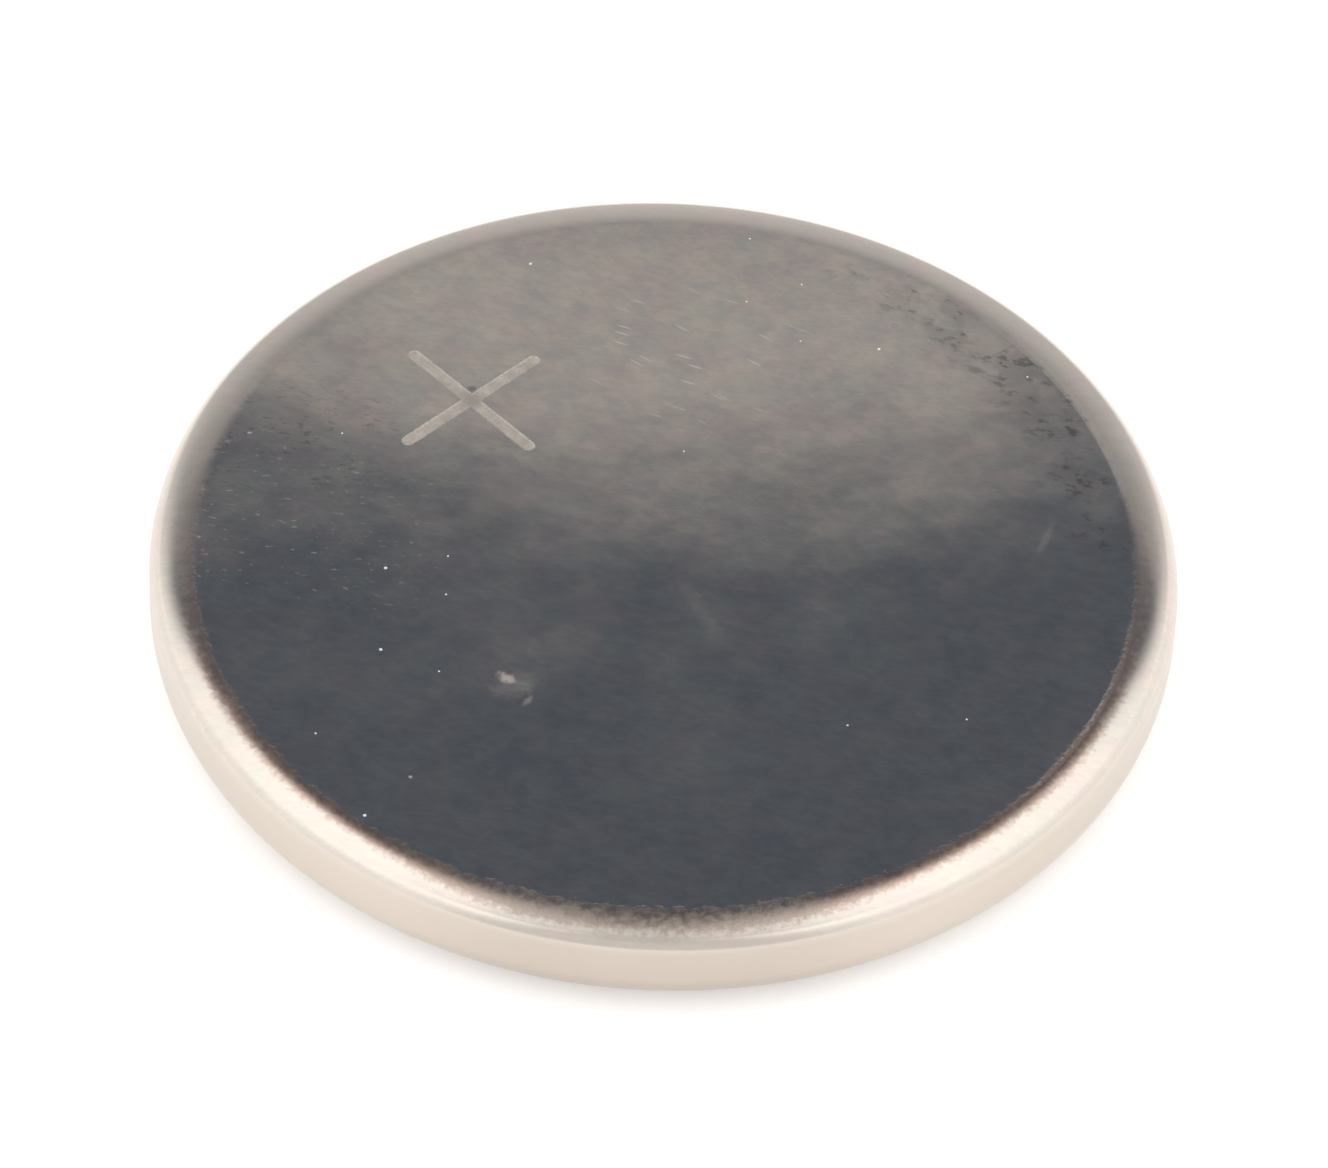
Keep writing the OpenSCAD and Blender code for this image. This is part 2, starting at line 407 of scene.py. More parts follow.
class Shader:
    """A material's node tree. A socket is given a value or the output that feeds it."""

    def __init__(self, tree):
        self.tree = tree
        tree.nodes.clear()

    def node(self, kind, inputs=None, **settings):
        made = self.tree.nodes.new(kind)
        for name, value in settings.items():
            setattr(made, name, value)
        for name, value in (inputs or {}).items():
            socket = made.inputs[name]
            if isinstance(value, bpy.types.NodeSocket):
                self.tree.links.new(value, socket)
            else:
                socket.default_value = value
        return made

    def math(self, operation, *values):
        inputs = dict(enumerate(values))
        return self.node("ShaderNodeMath", inputs, operation=operation).outputs[0]

    def span(self, value, low, high, out_low=0.0, out_high=1.0, smooth=True):
        """Maps value from low..high to out_low..out_high, clamped."""
        kind = "SMOOTHSTEP" if smooth else "LINEAR"
        names = ("Value", "From Min", "From Max", "To Min", "To Max")
        inputs = dict(zip(names, (value, low, high, out_low, out_high)))
        return self.node("ShaderNodeMapRange", inputs, interpolation_type=kind).outputs[0]

    def blend(self, factor, a, b, how="MIX"):
        """Mixes two colours, which this node takes at its sockets 6 and 7 and gives out at its third."""
        made = self.node("ShaderNodeMix", data_type="RGBA", blend_type=how)
        for socket, value in ((made.inputs[0], factor), (made.inputs[6], a), (made.inputs[7], b)):
            if isinstance(value, bpy.types.NodeSocket):
                self.tree.links.new(value, socket)
            elif isinstance(value, tuple):
                socket.default_value = (*value, 1.0)
            else:
                socket.default_value = value
        return made.outputs[2]

    def noise(self, where, size, detail=2.0, roughness=0.5):
        """Noise from 0 to 1 whose features are about size metres across."""
        inputs = {"Vector": where, "Scale": 1 / size, "Detail": detail, "Roughness": roughness}
        return self.node("ShaderNodeTexNoise", inputs).outputs["Fac"]

    def place(self, stretch=1.0, turn=0.0, shift=0.0):
        """The piece's own coordinates in metres, for marks stretched along a heading from its X axis."""
        inputs = {
            "Vector": self.node("ShaderNodeTexCoord").outputs["Object"],
            "Location": (shift, 0, 0),
            "Rotation": (0, 0, math.radians(turn)),
            "Scale": (stretch, 1, 1),
        }
        return self.node("ShaderNodeMapping", inputs, vector_type="TEXTURE").outputs[0]

    def reach(self, x, y):
        """Length of a level line with the sides x and y."""
        squares = self.math("ADD", self.math("MULTIPLY", x, x), self.math("MULTIPLY", y, y))
        return self.math("SQRT", squares)

    def bump(self, layers):
        """Surface normal raised by several heights, each given with its size in metres."""
        normal = None
        for height, size in layers:
            inputs = {"Height": height, "Distance": size, "Strength": 1.0}
            if normal is not None:
                inputs["Normal"] = normal
            normal = self.node("ShaderNodeBump", inputs).outputs[0]
        return normal

    def surface(self, **inputs):
        """Principled surface as the tree's output."""
        named = {name.replace("_", " "): value for name, value in inputs.items()}
        for name, value in named.items():
            if isinstance(value, tuple) and len(value) == 3:
                named[name] = (*value, 1.0)
        shader = self.node("ShaderNodeBsdfPrincipled", named)
        self.node("ShaderNodeOutputMaterial", {"Surface": shader.outputs[0]})


def new_material(name):
    material = bpy.data.materials.new(name)
    material.use_nodes = True
    return material, Shader(material.node_tree)


# Colours of the plated steel: its tints on the face, the wall's with painted shade at the front's middle, and
# the dark reflection painted on the worn band's front
NICKEL = (0.66, 0.61, 0.55)
NICKEL_GREEN = (0.645, 0.613, 0.55)
NICKEL_PINK = (0.675, 0.603, 0.553)
NICKEL_CREAM = (0.64, 0.575, 0.505)
NICKEL_PAINTED_SHADE = (0.56, 0.50, 0.44)
PAINTED_REFLECTION_BROWN = (0.48, 0.34, 0.28)
PAINTED_REFLECTION_GREY = (0.39, 0.325, 0.28)
# Factors on the face's colour, in small flecks and in wider shades, and how much of them the rest shows
FLECKS = ((0.945, 0.95, 0.96), (1.055, 1.05, 1.04))
SHADES = ((0.955, 0.965, 0.98), (1.05, 1.04, 1.02))
FLECKS_ELSEWHERE = 0.25
# Colours of the marks: rolling lines, darker slate-grey patches, pits and the painted shade by the plus sign,
# the scratches' painted glint, and dust
ROLLED = (0.3, 0.28, 0.26)
SLATE = (0.38, 0.37, 0.36)
PIT_AND_SHADE = (0.2, 0.19, 0.18)
SCRATCH_GLINT = (0.88, 0.83, 0.75)
DUST = (0.7, 0.7, 0.68)
# Colours of the other materials, each from dark to light
ETCHED = ((0.41, 0.38, 0.345), (0.53, 0.49, 0.44))
# The sign's sloping edge: a darker copy of the etched colours, painted shade
ETCHED_EDGE_SHADED = ((0.35, 0.325, 0.295), (0.46, 0.43, 0.39))
ETCHED_DULL = (0.28, 0.25, 0.23)
POLYPROPYLENE = ((0.045, 0.045, 0.05), (0.075, 0.075, 0.08))
GRID_STEEL = ((0.45, 0.45, 0.45), (0.6, 0.6, 0.6))
POSITIVE_MIX = ((0.03, 0.03, 0.035), (0.08, 0.08, 0.085))
NEGATIVE_MIX = ((0.22, 0.23, 0.25), (0.4, 0.41, 0.43))
FELT = ((0.74, 0.74, 0.7), (0.9, 0.9, 0.87))

# Noises of the can's metal: size in millimetres, detail and roughness, then the stretch, its heading
# in degrees and a shift in millimetres
CAN_NOISES = {
    "wide": (4.5, 1.0, 0.5, 1.0, 0, 0),
    "patch": (1.4, 1.0, 0.5, 1.0, 0, 0),
    "tint": (0.8, 3.0, 0.5, 1.0, 0, 5),
    "cloud": (0.6, 1.0, 0.5, 1.0, 0, 3),
    "haze": (2.2, 3.0, 0.5, 1.5, 30, 8),
    "flecks": (0.17, 3.0, 0.6, 1.6, -20, 0),
    "shades": (0.5, 2.0, 0.5, 1.4, 25, 0),
    "rolled": (0.05, 2.0, 0.5, 7.0, -5, 0),
    "grain": (0.12, 4.0, 0.65, 1.0, 0, 0),
    "grit": (0.07, 2.0, 0.5, 2.2, -8, 0),
    "blots": (0.15, 3.0, 0.6, 1.8, -15, 2),
    "gloom": (0.6, 3.0, 0.6, 1.3, -20, 4),
    "fine": (0.035, 2.0, 0.5, 1.0, 0, 0),
}

# Sparse spots: spacing, size, share of the places that hold one, seed, stretch and heading
DUST_SPOTS = [(0.9 * MM, 0.022 * MM, 0.07, 2), (1.9 * MM, 0.036 * MM, 0.09, 7)]
# Scratches whose glint is painted in as a lighter colour
GLINT_SCRATCH_SPOTS = [(0.2 * MM, 0.026 * MM, 0.3, 6, 7, -20), (0.17 * MM, 0.02 * MM, 0.3, 11, 9, -34)]
STREAK_SPOTS = (0.9 * MM, 0.035 * MM, 0.3, 9, 20, 38)

# Single marks on the face: middle in millimetres, heading, length, width and strength
MARKS = [
    ((-2.2, -2.95), 20, 1.1, 0.7, 0.32),
    ((-2.32, -2.8), -30, 0.5, 0.3, 1.0),
    ((-2.0, -3.25), 60, 0.4, 0.16, 0.5),
    ((-3.7, -4.9), 0, 0.1, 0.09, 1.0),
    ((3.5, 5.2), 0, 0.09, 0.08, 1.0),
    ((-6.6, 2.2), 10, 0.12, 0.07, 1.0),
    ((0.6, -1.2), -62, 2.2, 0.4, 0.08),
    ((5.9, 0.6), 70, 1.2, 0.2, 0.12),
    ((-0.4, 0.9), 60, 1.6, 0.3, 0.1),
    ((2.4, -3.6), 20, 2.6, 0.3, 0.08),
]
# Dark spots by the plus sign's strokes: painted shade, with the same columns
PLUS_PAINTED_SHADE = [
    ((-3.15, 3.38), 0, 0.26, 0.2, 1.0),
    ((-4.0, 2.2), 10, 0.3, 0.1, 0.6),
    ((-4.3, 2.4), -20, 0.2, 0.09, 0.5),
]
# Dull spot where the strokes of the plus sign cross: middle, heading, length and width
CROSSING = ((-3.16, 3.14), 0, 0.55, 0.5)
# Patch of short scratches near the back of the face, with their glint painted in: middle, heading, length and
# width
GLINT_SCRATCH_PATCH = ((0.2, 4.3), 0, 6.4, 4.4)

# The worn band at the face's edge: its raggedness, and its extra width at the front's middle. Then, for its
# roughness and for the dark reflection painted on its front, where it starts and where it stops, each as two
# distances from the face's edge
BAND_RAGGED = 0.36 * MM
BAND_WIDER = 0.2 * MM
WORN = ((-0.05 * MM, 0.03 * MM), (0.34 * MM, 0.14 * MM))
PAINTED_REFLECTION_SPAN = ((-0.05 * MM, 0.02 * MM), (0.32 * MM, 0.12 * MM))
PAINTED_REFLECTION_STRENGTH = 0.9
# Strength of the band's roughness all along the front, and what its middle adds
WORN_SHARES = (0.6, 0.4)
# Share of a spot's and of a mark's size over which it is at its full strength
SPOT_CORE = 0.3
MARK_CORE = 0.2

# Zones of the can, each from where it starts to where it is complete. By height: the face with its crown,
# and the wall. By radius: the level face, its rim, the corner's bend, the face's outer ring and its dip.
TOP_ZONE = (CELL_H - 0.6 * MM, CELL_H - 0.4 * MM)
WALL_ZONE = (CELL_H - 0.1 * MM, CELL_H - 0.3 * MM)
LEVEL_ZONE = (FACE_R + 0.1 * MM, FACE_R - 0.05 * MM)
RIM_ZONE = (FACE_R - 0.12 * MM, FACE_R + 0.1 * MM)
BEND_ZONE = (CELL_R - 0.45 * MM, CELL_R - 0.12 * MM)
RING_ZONE = (5.9 * MM, 6.9 * MM)
DIP_ZONE = (5.6 * MM, 7.4 * MM)
# Along y, which runs to the back: the front and the back. Along x, which runs to the right: the front's
# middle, by the distance from it, and the slope at the right. Along x and some of y: the right back
AHEAD_ZONE = (3.5 * MM, -4.5 * MM)
BACK_ZONE = (-0.2 * MM, 1.4 * MM)
MIDDLE_ZONE = (4.5 * MM, 1.5 * MM)
SLOPE_ZONE = (4.6 * MM, 7.2 * MM)
RIGHT_BACK_ZONE = (3.4 * MM, 6 * MM)
RIGHT_BACK_LEAN = 0.3
# At the left, and left of the plus sign: along x, and their two ends along y
LEFT_ZONE = (-2.8 * MM, -4.6 * MM)
LEFT_ENDS = ((-2.4 * MM, -0.6 * MM), (3.6 * MM, 1.6 * MM))
PLUS_SIDE_ZONE = (-3.2 * MM, -4.6 * MM)
PLUS_SIDE_ENDS = ((0.5 * MM, 1.6 * MM), (3.8 * MM, 2.4 * MM))

# Values of a noise between which it counts: most of them, the inner ones, and for the can's tint and shades
MOST = (0.3, 0.7)
INNER = (0.35, 0.65)
TINT_SPAN = (0.38, 0.62)
SHADE_SPAN = (0.34, 0.66)
HAZE_SPAN = (0.45, 0.75)
# The same for the lines and pits at the left, the clusters that those pits keep to, and the darker patches
# and pits at the right
LINES_SPAN = (0.63, 0.75)
LEFT_PITS_SPAN = (0.42, 0.34)
CLUSTER_SPAN = (0.42, 0.55)
DARK_PATCH_SPAN = (0.42, 0.56)
RIGHT_PITS_SPAN = (0.46, 0.38)
# Strength of the lines and of the pits at the left, and of the colours of rolling marks, darker patches, pits
# with the painted shade by the plus sign, and the plus sign's crossing
LINES_STRENGTH = 0.5
LEFT_PITS_STRENGTH = 0.6
ROLLED_SHARES = (0.0, 0.06)
DARK_PATCH_SHARE = 0.42
PIT_AND_SHADE_SHARE = 0.6
CROSSING_SHARE = 0.6

# Roughness of each material, from where its noise is low to where it is high
CAN_ROUGH = (0.045, 0.065)
CAP_ROUGH = (0.22, 0.32)
GASKET_ROUGH = (0.42, 0.58)
GRID_ROUGH = (0.3, 0.5)
POWDER_ROUGH = (0.6, 0.85)
FELT_ROUGH = (0.9, 0.75)
ETCHED_ROUGH = 0.55
DUST_ROUGH = 0.6
# What each zone or mark adds to the can's roughness, and the unevenness of the worn band's share
ROUGHER = {
    "rim": 0.06,
    "haze": 0.035,
    "bend": 0.12,
    "lines": 0.25,
    "left": 0.012,
    "streaks": 0.04,
    "worn": 0.1,
}
WORN_UNEVEN = (0.6, 1.4)
# Height of each relief of the can
RELIEF = {
    "wide": 8 * UM,
    "patch": 1.1 * UM,
    "cloud": 0.45 * UM,
    "dish": 8 * UM,
    "flank": 2.2 * UM,
    "worn": 1.5 * UM,
    "fine": 0.03 * UM,
}

# Noises of the other materials: size, detail and, where it isn't the usual one, roughness. Then how far the
# grid's grain and the felt's fibres are stretched, the fibres' two headings, and the height of each relief
ETCHED_PITS = (0.04 * MM, 3.0, 0.6)
ETCHED_TINT = (0.2 * MM, 2.0)
CAP_PATCH = (1.8 * MM, 1.0)
CAP_PEBBLE = (0.12 * MM, 3.0, 0.6)
GASKET_GRAIN = (0.06 * MM, 3.0)
GASKET_CLOUD = (0.8 * MM, 2.0)
GRID_GRAIN = (0.05 * MM, 3.0)
FIBRE = (0.04 * MM, 3.0)
POWDER_DETAIL = (4.0, 0.65)
GRID_STRETCH = 5
FIBRE_STRETCH = 8
FIBRE_TURNS = (30, -50)
FIBRE_SPAN = (0.4, 0.7)
FELT_SHEEN = 0.3
ETCHED_RELIEF = 4 * UM
CAP_RELIEF = 3 * UM
GASKET_RELIEF = 1.5 * UM
GRID_RELIEF = 2 * UM
FELT_RELIEF = 6 * UM
# The powders: grain size and how metallic, and the height of their relief as a share of the grain size
POSITIVE_GRAIN = (0.05 * MM, 0.0)
NEGATIVE_GRAIN = (0.12 * MM, 0.6)
POWDER_RELIEF = 1 / 6


def combined(s, operation, values):
    """All the values joined by one operation."""
    whole = values[0]
    for value in values[1:]:
        whole = s.math(operation, whole, value)
    return whole


def product(s, *values):
    """All the values multiplied."""
    return combined(s, "MULTIPLY", values)


def highest(s, *values):
    """The highest of the values."""
    return combined(s, "MAXIMUM", values)


def spots(s, spacing, size, share, seed, stretch=1.0, turn=0.0):
    """Sparse spots, longer than wide by the stretch: 1 in the middle of a spot and 0 around it."""
    where = s.place(stretch, turn, seed * MM)
    inputs = {"Vector": where, "Scale": 1 / spacing}
    cells = s.node("ShaderNodeTexVoronoi", inputs, voronoi_dimensions="2D").outputs
    chosen = s.node("ShaderNodeSeparateColor", {0: cells["Color"]}).outputs[0]
    near = s.span(cells["Distance"], size / spacing, size * SPOT_CORE / spacing)
    return s.math("MULTIPLY", near, s.math("LESS_THAN", chosen, share))


def mark(s, at, turn, length, width, ragged=0.0):
    """One mark on the face: 1 in its middle and 0 around it."""
    inputs = {
        "Vector": s.node("ShaderNodeTexCoord").outputs["Object"],
        "Location": (at[0] * MM, at[1] * MM, CELL_H),
        "Rotation": (0, 0, math.radians(turn)),
        "Scale": (length / 2 * MM, width / 2 * MM, 1),
    }
    where = s.node("ShaderNodeMapping", inputs, vector_type="TEXTURE").outputs[0]
    far = s.node("ShaderNodeVectorMath", {0: where}, operation="LENGTH").outputs["Value"]
    return s.span(s.math("ADD", far, ragged), 1.0, MARK_CORE)


def listed_marks(s, table, ragged):
    """The marks of a table, each as strong as it says there."""
    return [product(s, mark(s, *shape, ragged), strength) for *shape, strength in table]


def can_zones(s, x, y, z, r):
    """Where things are on the can: the face, the crown, the wall, and parts of the face."""
    top = s.span(z, *TOP_ZONE)
    ahead = s.span(y, *AHEAD_ZONE)
    ends_of_left = (s.span(y, *end) for end in LEFT_ENDS)
    ends_of_plus_side = (s.span(y, *end) for end in PLUS_SIDE_ENDS)
    leaning = s.math("ADD", x, s.math("MULTIPLY", y, RIGHT_BACK_LEAN))
    right_back = s.span(leaning, *RIGHT_BACK_ZONE)
    return SimpleNamespace(
        top=top,
        level=product(s, top, s.span(r, *LEVEL_ZONE)),
        rim=s.span(r, *RIM_ZONE),
        bend=s.span(r, *BEND_ZONE),
        wall=s.span(z, *WALL_ZONE),
        ahead=ahead,
        middle=product(s, ahead, s.span(s.math("ABSOLUTE", x), *MIDDLE_ZONE)),
        left=product(s, s.span(x, *LEFT_ZONE), *ends_of_left),
        left_of_plus=product(s, s.span(x, *PLUS_SIDE_ZONE), *ends_of_plus_side),
        right_back=right_back,
        right_edge=product(s, s.span(r, *RING_ZONE), right_back, s.span(y, *BACK_ZONE)),
        right_slope=s.span(x, *SLOPE_ZONE),
        dip=s.span(r, *DIP_ZONE, smooth=False),
    )


def worn_band(s, zone, r, rough_edge):
    """The worn band, with a ragged edge and widest at the front: its roughness, and the dark reflection
    painted on its front.
    """
    ragged = s.math("ADD", r, s.math("MULTIPLY", rough_edge, BAND_RAGGED))
    inward = s.math("SUBTRACT", ragged, s.math("MULTIPLY", zone.middle, BAND_WIDER))
    shares = [s.math("MULTIPLY", each, share) for each, share in zip((zone.ahead, zone.middle), WORN_SHARES)]
    worn = combined(s, "ADD", shares)
    # The dark reflection is painted on the band's front only
    reflection_share = product(s, zone.ahead, PAINTED_REFLECTION_STRENGTH)
    bands = []
    for strength, (start, end) in ((worn, WORN), (reflection_share, PAINTED_REFLECTION_SPAN)):
        inner = s.span(ragged, *(FACE_R + d for d in start))
        outer = s.span(inward, *(FACE_R + d for d in end))
        bands.append(product(s, zone.top, strength, inner, outer))
    return bands


def can_marks(s, zone, n, rough_edge):
    """Marks on the face: dust, scratches with a painted glint, blurred lines, darker patches, dark pits, and
    painted shade by the plus sign.
    """
    scratch_glints = highest(s, *(spots(s, *each) for each in GLINT_SCRATCH_SPOTS))
    left_lines = product(s, s.span(n.grit, *LINES_SPAN), zone.left, LINES_STRENGTH)
    dark_patches = product(s, zone.right_edge, s.span(n.gloom, *DARK_PATCH_SPAN), zone.level)
    clusters = product(s, zone.left_of_plus, s.span(n.grit, *LEFT_PITS_SPAN), s.span(n.shades, *CLUSTER_SPAN))
    left_pits = product(s, clusters, LEFT_PITS_STRENGTH)
    right_pits = product(s, dark_patches, s.span(n.blots, *RIGHT_PITS_SPAN))
    return SimpleNamespace(
        dust=product(s, highest(s, *(spots(s, *each) for each in DUST_SPOTS)), zone.level),
        scratch_glints=product(s, scratch_glints, mark(s, *GLINT_SCRATCH_PATCH, rough_edge), zone.level),
        lines=product(s, highest(s, left_lines, *listed_marks(s, MARKS, rough_edge)), zone.level),
        streaks=product(s, spots(s, *STREAK_SPOTS), zone.level),
        dark_patches=dark_patches,
        # pits also holds the painted shade by the plus sign's strokes
        pits=product(s, highest(s, left_pits, right_pits, *listed_marks(s, PLUS_PAINTED_SHADE, rough_edge)), zone.level),
    )


def can_colour(s, zone, n, marks, painted_reflection):
    """Colour of the can: tinted nickel, duller at the wall and darker at its front's middle as painted shade,
    a dark reflection painted on the worn band's front, and its marks, some with painted glints and shade.
    """
    colour = s.blend(s.span(n.tint, *TINT_SPAN), NICKEL_GREEN, NICKEL_PINK)
    on_face = s.span(zone.level, 0.0, 1.0, FLECKS_ELSEWHERE, 1.0)
    for noise, pair in ((n.flecks, FLECKS), (n.shades, SHADES)):
        colour = s.blend(on_face, colour, s.blend(s.span(noise, *SHADE_SPAN), *pair), "MULTIPLY")
    colour = s.blend(s.span(n.rolled, *MOST, *ROLLED_SHARES), colour, ROLLED)
    # The wall is duller, and darker at the front's middle: painted shade
    colour = s.blend(zone.wall, colour, s.blend(zone.middle, NICKEL_CREAM, NICKEL_PAINTED_SHADE))
    # Dark reflection painted on the worn band's front: brown, and grey at the front's middle
    colour = s.blend(painted_reflection, colour, s.blend(zone.middle, PAINTED_REFLECTION_BROWN, PAINTED_REFLECTION_GREY))
    # Darker slate-grey patches at the right back
    colour = s.blend(product(s, marks.dark_patches, DARK_PATCH_SHARE), colour, SLATE)
    # Pits, and the painted shade by the plus sign's strokes
    colour = s.blend(product(s, marks.pits, PIT_AND_SHADE_SHARE), colour, PIT_AND_SHADE)
    # The scratches' glint, painted in as a lighter colour
    colour = s.blend(marks.scratch_glints, colour, SCRATCH_GLINT)
    return s.blend(marks.dust, colour, DUST)


def can_roughness(s, zone, n, marks, worn):
    """Roughness of the can: a near mirror, with more blur where each zone or mark adds its share."""
    where = {
        "rim": zone.rim,
        "haze": s.span(n.haze, *HAZE_SPAN),
        "bend": zone.bend,
        "lines": marks.lines,
        "left": zone.left,
        "streaks": marks.streaks,
        "worn": product(s, worn, s.span(n.grain, *INNER, *WORN_UNEVEN)),
    }
    rough = s.span(n.patch, *MOST, *CAN_ROUGH)
    for name, more in ROUGHER.items():
        rough = s.math("ADD", rough, s.math("MULTIPLY", where[name], more))
    return s.math("MAXIMUM", rough, s.math("MULTIPLY", marks.dust, DUST_ROUGH))


def can_metal():
    """Nickel-plated steel: a near mirror that waves a little, worn where the crown starts, with a dark
    reflection painted on that band's front.
    """
    material, s = new_material("can_nickel")
    x, y, z = s.node("ShaderNodeSeparateXYZ", {0: s.place()}).outputs
    r = s.reach(x, y)
    n = SimpleNamespace()
    for name, (size, detail, rough, stretch, turn, shift) in CAN_NOISES.items():
        setattr(n, name, s.noise(s.place(stretch, turn, shift * MM), size * MM, detail, rough))
    rough_edge = s.math("SUBTRACT", n.grain, 0.5)
    zone = can_zones(s, x, y, z, r)
    # The band's roughness, and the dark reflection painted on its front
    worn, painted_reflection = worn_band(s, zone, r, rough_edge)
    marks = can_marks(s, zone, n, rough_edge)

    # The face sinks a little towards its right back edge, and leans there
    shapes = {
        "wide": n.wide,
        "patch": n.patch,
        "cloud": n.cloud,
        "dish": product(s, zone.top, zone.dip, zone.dip, zone.right_back),
        "flank": product(s, y, 1 / MM, zone.right_slope, zone.level),
        "worn": product(s, n.grain, worn),
        "fine": n.fine,
    }
    s.surface(
        Base_Color=can_colour(s, zone, n, marks, painted_reflection),
        Metallic=s.math("SUBTRACT", 1.0, marks.dust),
        Roughness=can_roughness(s, zone, n, marks, worn),
        Normal=s.bump([(shapes[name], height) for name, height in RELIEF.items()]),
    )
    return material


def etched_metal(name, dark, light):
    """Metal of the etched sign: matte and finely pitted, and duller where its strokes cross."""
    material, s = new_material(name)
    pits = s.noise(s.place(), *ETCHED_PITS)
    tint = s.noise(s.place(), *ETCHED_TINT)
    both = s.math("MULTIPLY", s.math("ADD", tint, pits), 0.5)
    colour = s.blend(s.span(both, *INNER), dark, light)
    s.surface(
        Base_Color=s.blend(product(s, mark(s, *CROSSING), CROSSING_SHARE), colour, ETCHED_DULL),
        Metallic=1.0,
        Roughness=ETCHED_ROUGH,
        Normal=s.bump([(pits, ETCHED_RELIEF)]),
    )
    return material


def cap_metal():
    """Nickel-plated steel with a satin grain."""
    material, s = new_material("cap_nickel")
    patch = s.noise(s.place(), *CAP_PATCH)
    pebble = s.noise(s.place(), *CAP_PEBBLE)
    s.surface(
        Base_Color=s.blend(patch, NICKEL, NICKEL_PINK),
        Metallic=1.0,
        Roughness=s.span(patch, *MOST, *CAP_ROUGH),
        Normal=s.bump([(pebble, CAP_RELIEF)]),
    )
    return material


def gasket_plastic():
    """Moulded polypropylene, dark and satin."""
    material, s = new_material("gasket_plastic")
    grain = s.noise(s.place(), *GASKET_GRAIN)
    cloud = s.noise(s.place(), *GASKET_CLOUD)
    s.surface(
        Base_Color=s.blend(cloud, *POLYPROPYLENE),
        Roughness=s.span(grain, *MOST, *GASKET_ROUGH),
        Normal=s.bump([(grain, GASKET_RELIEF)]),
    )
    return material


def collector_metal():
    """Dull steel of the expanded grid."""
    material, s = new_material("collector_steel")
    grain = s.noise(s.place(GRID_STRETCH), *GRID_GRAIN)
    s.surface(
        Base_Color=s.blend(grain, *GRID_STEEL),
        Metallic=1.0,
        Roughness=s.span(grain, *MOST, *GRID_ROUGH),
        Normal=s.bump([(grain, GRID_RELIEF)]),
    )
    return material


def pressed_powder(name, dark, light, grain_size, metallic):
    """A pressed pellet: grains of two shades, packed to a matte face."""
    material, s = new_material(name)
    grain = s.noise(s.place(), grain_size, *POWDER_DETAIL)
    s.surface(
        Base_Color=s.blend(s.span(grain, *INNER), dark, light),
        Metallic=metallic,
        Roughness=s.span(grain, *MOST, *POWDER_ROUGH),
        Normal=s.bump([(grain, grain_size * POWDER_RELIEF)]),
    )
    return material


def nonwoven():
    """Felted white fibres, seen as short streaks that cross."""
    material, s = new_material("separator_felt")
    fibres = highest(s, *(s.noise(s.place(FIBRE_STRETCH, turn), *FIBRE) for turn in FIBRE_TURNS))
    s.surface(
        Base_Color=s.blend(s.span(fibres, *FIBRE_SPAN), *FELT),
        Roughness=s.span(fibres, *FIBRE_SPAN, *FELT_ROUGH),
        Sheen_Weight=FELT_SHEEN,
        Normal=s.bump([(fibres, FELT_RELIEF)]),
    )
    return material


def gasket_ring(plastic):
    """The gasket in fine parts: along the can's inside, the bead, the cap's outside and its hem."""
    can_in = beside(CAN_STEPS, CAN_T, -CAN_T / 2, CAN_START)
    lip_end = beside(CAN_STEPS, CAN_T, 0, CAN_START)[-1]
    foot = beside(CAP_FACE, CAP_T, 0, CAP_START)[-1]
    below, above = cap_sections()
    cap = below + list(reversed(above))
    bead = [p for p in swell(lip_end, foot, BEAD_R) if not inside_of(p, cap)]
    seat = [p for p in below if p.x > bead[-1].x and p.y > bead[-1].y and p.y < HEM_Z and p.x <= SKIRT_R]
    fold = [p for p in above if p.x >= SKIRT_IN_R - ON_LINE and p.y >= FOLD_Z - ON_LINE]
    inner_r = SKIRT_IN_R - GASKET_INNER_T
    tip_z = FLOOR_Z - GASKET_INNER_H
    section = [Vector((inner_r, FLOOR_Z))] + can_in[1:] + [lip_end] + bead + seat
    section += [Vector((SKIRT_R, HEM_Z)), Vector((HEM_R, HEM_Z))] + list(reversed(fold))
    section += [Vector((SKIRT_IN_R, tip_z)), Vector((inner_r + GASKET_BEVEL, tip_z))]
    section += [Vector((inner_r, tip_z + GASKET_BEVEL))]
    return lathe("gasket_ring", section, [plastic])


def camera_axes():
    """Right, up and forward of the camera."""
    tilt = math.radians(CAMERA_ELEVATION)
    lean = math.radians(CAMERA_ROLL)
    forward = Vector((0, math.cos(tilt), -math.sin(tilt)))
    level = Vector((1, 0, 0))
    upright = level.cross(forward)
    right = level * math.cos(lean) + upright * math.sin(lean)
    return right, right.cross(forward), forward


def add_camera():
    right, up, forward = camera_axes()
    data = bpy.data.cameras.new("camera")
    data.lens = CAMERA_LENS
    data.sensor_width = CAMERA_SENSOR
    data.clip_start, data.clip_end = CAMERA_CLIP
    camera = bpy.data.objects.new("camera", data)
    turn = Matrix((right, up, -forward)).transposed()
    aim = CAMERA_TARGET + right * CAMERA_AIM[0] + up * CAMERA_AIM[1]
    camera.matrix_world = Matrix.Translation(aim - forward * CAMERA_DISTANCE) @ turn.to_4x4()
    bpy.context.scene.collection.objects.link(camera)
    bpy.context.scene.camera = camera


